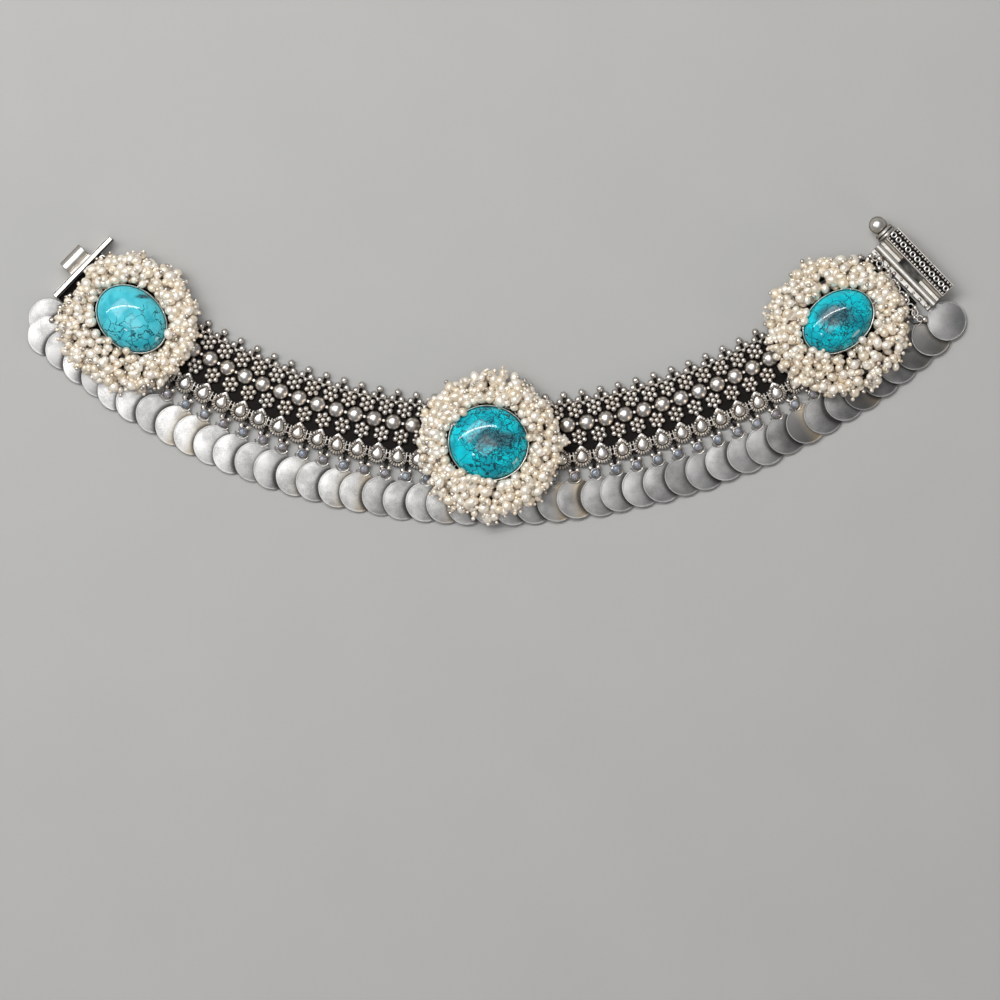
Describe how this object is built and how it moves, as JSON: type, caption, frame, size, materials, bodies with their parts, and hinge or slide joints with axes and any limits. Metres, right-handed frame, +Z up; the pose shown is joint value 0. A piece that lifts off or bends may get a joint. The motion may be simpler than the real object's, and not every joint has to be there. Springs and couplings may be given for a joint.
{
  "type": "payal anklet",
  "caption": "Open silver payal anklet in an arc, with rows of granulated links, a disc fringe, turquoise medallions ringed with pearls, and a clasp closed by a ball-headed pin.",
  "frame": {"origin": "under the middle of the anklet's outline box, on the surface it lies on", "axes": "+X along the anklet from the tongue end to the box end of the clasp, +Y towards the arc's centre, +Z up from the surface"},
  "size_m": [0.2672, 0.0882, 0.0113],
  "materials": {
    "dark_silver": "oxidised silver with polished high spots",
    "disc_silver": "burnished silver with fine scratches",
    "clasp_silver": "polished silver, worn",
    "turquoise": "glossy with dark veins",
    "pearl": "nacre"
  },
  "bodies": {
    "anklet": {"crest_row": "dark_silver", "dome_row": "dark_silver", "lower_flower_row": "dark_silver", "teardrop_row": "dark_silver", "disc_fringe": "disc_silver", "bezel_left": "clasp_silver", "bezel_middle": "clasp_silver", "bezel_right": "clasp_silver", "turquoise_left": "turquoise", "turquoise_middle": "turquoise", "turquoise_right": "turquoise", "pearls_left": "pearl", "pearls_middle": "pearl", "pearls_right": "pearl", "clasp_tongue_end": "clasp_silver", "clasp_box_end": "clasp_silver"},
    "clasp_pin": {"clasp_pin": "clasp_silver"}
  },
  "joints": [
    {"name": "clasp_pin_slide", "type": "slide", "parent": "anklet", "child": "clasp_pin", "axis": [-0.6957, 0.7183, 0], "range_m": [0, 0.016]}
  ]
}
